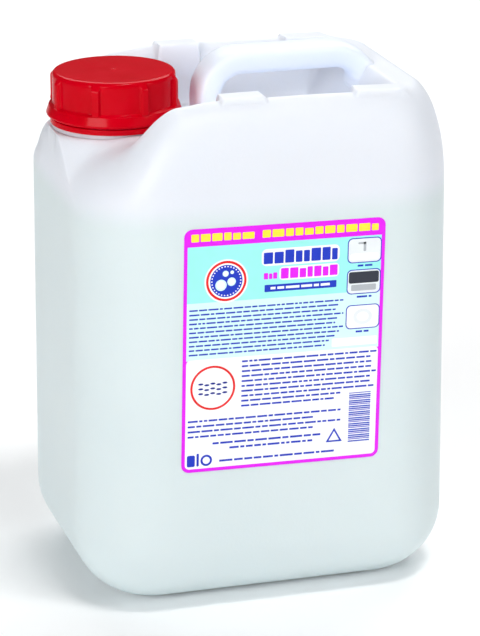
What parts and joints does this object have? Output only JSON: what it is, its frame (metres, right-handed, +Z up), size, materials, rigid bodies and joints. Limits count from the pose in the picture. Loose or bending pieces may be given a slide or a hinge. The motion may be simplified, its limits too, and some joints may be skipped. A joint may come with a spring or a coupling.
{
  "type": "jerrycan",
  "caption": "Upright blow-moulded jerrycan with a hollow handle in a trench, a ribbed screw cap on a corner neck and a front label.",
  "frame": {"origin": "on the floor plane, under the middle of the can's base", "axes": "+Z up, the label faces -Y, the neck and cap stand at the -X end"},
  "size_m": [0.1884, 0.1502, 0.2625],
  "materials": {
    "translucent_plastic": "natural translucent, satin",
    "cap_plastic": "glossy",
    "gasket_foam": "matte foam",
    "label_film": "printed film, satin"
  },
  "bodies": {
    "can": {"can": "translucent_plastic", "label": "label_film", "tamper_ring": "cap_plastic"},
    "seal": {"cap_gasket": "gasket_foam"},
    "cap": {"cap": "cap_plastic"}
  },
  "joints": [
    {"name": "cap_lift", "type": "slide", "parent": "can", "child": "seal", "axis": [0, 0, 1], "range_m": [0, 0.02]},
    {"name": "cap_turn", "type": "hinge", "parent": "seal", "child": "cap", "pos_m": [-0.0615, 0, 0.2355], "axis": [0, 0, 1], "range_deg": [0, 1440]}
  ],
  "couplings": [
    {"joint": "cap_lift", "follows": "cap_turn", "m_per_rad": 0.00079577}
  ]
}
